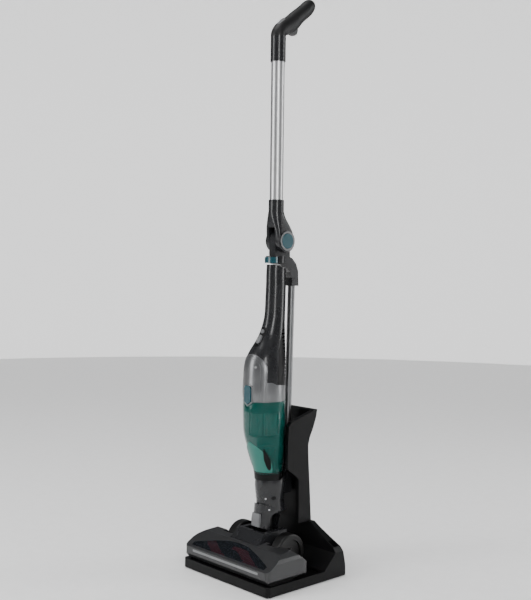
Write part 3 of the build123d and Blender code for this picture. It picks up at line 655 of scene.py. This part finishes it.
def bristle_rows():
    """Two spiral rows of nylon bristles on the brush core."""
    rng = random.Random(SEED)
    low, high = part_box("brush_core")
    middle = Vector((0, (low.y + high.y) / 2, (low.z + high.z) / 2))
    builder = bmesh.new()
    for start in (0.0, math.pi):
        for index in range(TUFTS):
            part = index / (TUFTS - 1)
            x = ROW_HALF * (2 * part - 1)
            turn = start + 2 * math.pi * ROW_TURNS * part
            for _ in range(STRANDS):
                strand(builder, rng, middle, x, turn)
    finish_piece("bristle_rows", builder, "red_bristle", BODY_OF["brush_bristles"], False,
                 ("brush_bristles",))


bristle_rows()


# ---------------------------------------------------------------- edges of the CAD nodes

for name, width in EDGE_WIDTHS.items():
    smooth_edges(name, width)


# ---------------------------------------------------------------- camera, light and floor

def place_camera():
    """Camera at the given place, with its own axes built from azimuth, pitch and roll."""
    side = Vector((math.cos(AZIMUTH), math.sin(AZIMUTH), 0))
    forward = Vector((-math.sin(AZIMUTH) * math.cos(PITCH), math.cos(AZIMUTH) * math.cos(PITCH),
                      -math.sin(PITCH)))
    above = side.cross(forward)
    right = side * math.cos(ROLL) + above * math.sin(ROLL)
    up = above * math.cos(ROLL) - side * math.sin(ROLL)
    camera = bpy.data.objects.new("camera", bpy.data.cameras.new("camera"))
    camera.data.sensor_width = SENSOR
    camera.data.lens = FOCAL * SENSOR / IMAGE_HEIGHT
    turn = Matrix((right, up, -forward)).transposed()
    camera.matrix_world = Matrix.Translation(CAMERA_AT) @ turn.to_4x4()
    bpy.context.scene.collection.objects.link(camera)
    bpy.context.scene.camera = camera


def softbox(name, place, target, width, height, power):
    """Rectangular light aimed at a point."""
    light = bpy.data.lights.new(name, "AREA")
    light.shape = "RECTANGLE"
    light.size = width
    light.size_y = height
    light.energy = power
    lamp = bpy.data.objects.new(name, light)
    lamp.location = place
    aim = Vector(target) - Vector(place)
    lamp.rotation_euler = aim.to_track_quat("-Z", "Y").to_euler()
    bpy.context.scene.collection.objects.link(lamp)


def staged(name, builder, material):
    """Turns a bmesh into scenery that is not part of the object."""
    mesh = bpy.data.meshes.new(name)
    builder.to_mesh(mesh)
    builder.free()
    scenery = bpy.data.objects.new(name, mesh)
    bpy.context.scene.collection.objects.link(scenery)
    mesh.materials.append(material)
    return scenery


def make_floor():
    """Wide pale floor with a faint mottle."""
    half = 6
    builder = bmesh.new()
    corners = [(-half, -half, 0), (half, -half, 0), (half, half, 0), (-half, half, 0)]
    builder.faces.new([builder.verts.new(c) for c in corners])
    pale = plastic("floor_pale", colour=(0.86, 0.86, 0.86), roughness=0.75, spread=0.05, tint=0.015,
                   grain=300, depth=0.05)
    staged("floor", builder, pale)


def make_backdrop():
    """Round pale wall that glows softly behind the object."""
    steps = 48
    radius = 4.2
    height = 5.0
    pale, shader, _ = moulded("wall_pale", (0.88, 0.88, 0.88), 0.8, spread=0.04, tint=0.01, grain=60,
                              depth=0.02)
    shader.inputs["Emission Color"].default_value = (1.0, 1.0, 1.0, 1.0)
    shader.inputs["Emission Strength"].default_value = 0.45
    builder = bmesh.new()
    posts = []
    for step in range(steps):
        turn = 2 * math.pi * step / steps
        foot = (radius * math.cos(turn), radius * math.sin(turn))
        posts.append((builder.verts.new((*foot, 0)), builder.verts.new((*foot, height))))
    for step in range(steps):
        low, high = posts[step]
        next_low, next_high = posts[(step + 1) % steps]
        builder.faces.new((low, next_low, next_high, high))
    staged("backdrop", builder, pale).visible_glossy = False


def beside_camera(turn, distance, height):
    """Place on the floor plan at an angle to the right of the camera's direction, at a height."""
    toward = Vector((math.sin(AZIMUTH), -math.cos(AZIMUTH), 0))
    right = Vector((math.cos(AZIMUTH), math.sin(AZIMUTH), 0))
    angle = math.radians(turn)
    spot = (toward * math.cos(angle) + right * math.sin(angle)) * distance
    return (spot.x, spot.y, height)


def make_world():
    """Dim, slightly cool light from all round."""
    world = bpy.data.worlds.new("soft_room")
    world.use_nodes = True
    background = world.node_tree.nodes["Background"]
    background.inputs["Color"].default_value = (0.9, 0.92, 0.95, 1)
    background.inputs["Strength"].default_value = 0.16
    bpy.context.scene.world = world


place_camera()
softbox("front", beside_camera(14, 2.7, 1.35), (0, 0, 0.55), width=0.45, height=1.9, power=34)
softbox("right", beside_camera(98, 1.9, 1.0), (0, 0, 0.6), width=0.40, height=2.0, power=16)
softbox("left", beside_camera(-72, 2.1, 1.1), (0, 0, 0.5), width=0.70, height=1.9, power=26)
softbox("top", (-0.4, -0.6, 2.9), (0, 0, 0.3), width=1.4, height=1.4, power=30)
make_floor()
make_backdrop()
make_world()
